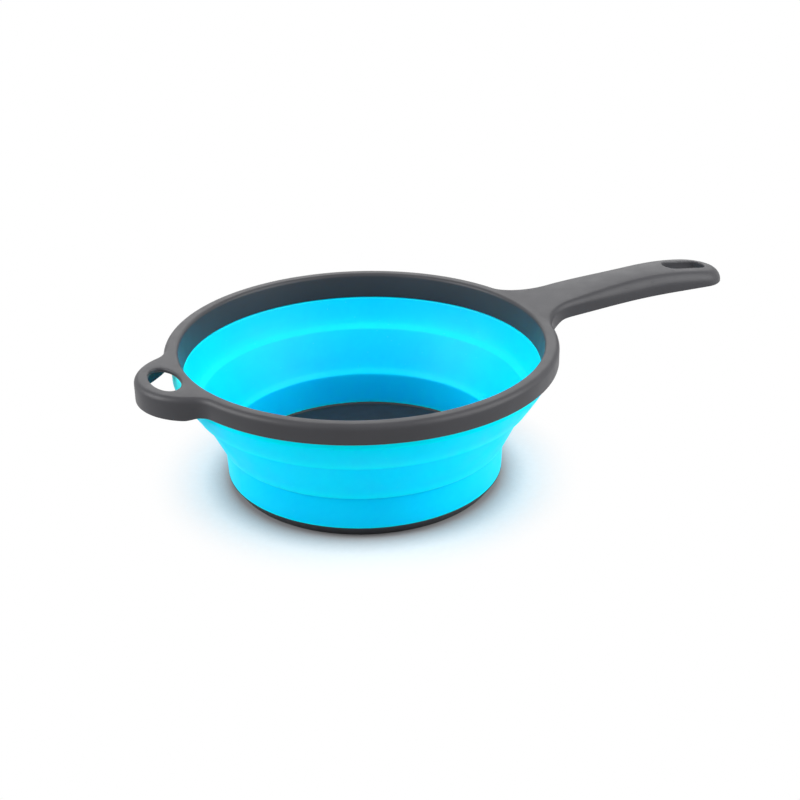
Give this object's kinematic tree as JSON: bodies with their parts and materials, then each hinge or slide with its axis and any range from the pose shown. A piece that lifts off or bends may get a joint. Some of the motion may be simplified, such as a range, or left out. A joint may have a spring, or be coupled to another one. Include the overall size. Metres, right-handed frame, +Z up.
{
  "type": "collapsible colander",
  "caption": "Round hand colander with a folding silicone wall, a drained base, a long handle with a hanging hole and a helper lug; it pushes flat for storage.",
  "frame": {"origin": "on the bowl's axis, at the plane that the base stands on", "axes": "+Z up along the bowl's axis, +X towards the handle's end"},
  "size_m": [0.3418, 0.2, 0.0812],
  "materials": {
    "frame_plastic": "satin moulded polypropylene, dark grey",
    "silicone": "smooth satin silicone, bright blue, slightly translucent",
    "base_plastic": "satin moulded polypropylene, dark grey"
  },
  "bodies": {
    "base": {"base_strainer": "base_plastic", "lower_wall": "silicone"},
    "rim": {"rim_frame": "frame_plastic", "upper_wall": "silicone"},
    "fold_1": {"fold_ring_1": "silicone"},
    "fold_2": {"fold_ring_2": "silicone"},
    "fold_3": {"fold_ring_3": "silicone"},
    "fold_4": {"fold_ring_4": "silicone"},
    "fold_5": {"fold_ring_5": "silicone"},
    "fold_6": {"fold_ring_6": "silicone"}
  },
  "joints": [
    {"name": "collapse", "type": "slide", "parent": "base", "child": "rim", "axis": [0, 0, -1], "range_m": [0, 0.0445]},
    {"name": "fold_1_slide", "type": "slide", "parent": "base", "child": "fold_1", "axis": [0, 0, -1], "range_m": [0, 0.0064]},
    {"name": "fold_2_slide", "type": "slide", "parent": "base", "child": "fold_2", "axis": [0, 0, -1], "range_m": [0, 0.0128]},
    {"name": "fold_3_slide", "type": "slide", "parent": "base", "child": "fold_3", "axis": [0, 0, -1], "range_m": [0, 0.0192]},
    {"name": "fold_4_slide", "type": "slide", "parent": "base", "child": "fold_4", "axis": [0, 0, -1], "range_m": [0, 0.0256]},
    {"name": "fold_5_slide", "type": "slide", "parent": "base", "child": "fold_5", "axis": [0, 0, -1], "range_m": [0, 0.032]},
    {"name": "fold_6_slide", "type": "slide", "parent": "base", "child": "fold_6", "axis": [0, 0, -1], "range_m": [0, 0.0384]}
  ],
  "couplings": [
    {"joint": "fold_1_slide", "follows": "collapse", "ratio": 0.14153},
    {"joint": "fold_2_slide", "follows": "collapse", "ratio": 0.28492},
    {"joint": "fold_3_slide", "follows": "collapse", "ratio": 0.42831},
    {"joint": "fold_4_slide", "follows": "collapse", "ratio": 0.57169},
    {"joint": "fold_5_slide", "follows": "collapse", "ratio": 0.71508},
    {"joint": "fold_6_slide", "follows": "collapse", "ratio": 0.85847}
  ]
}
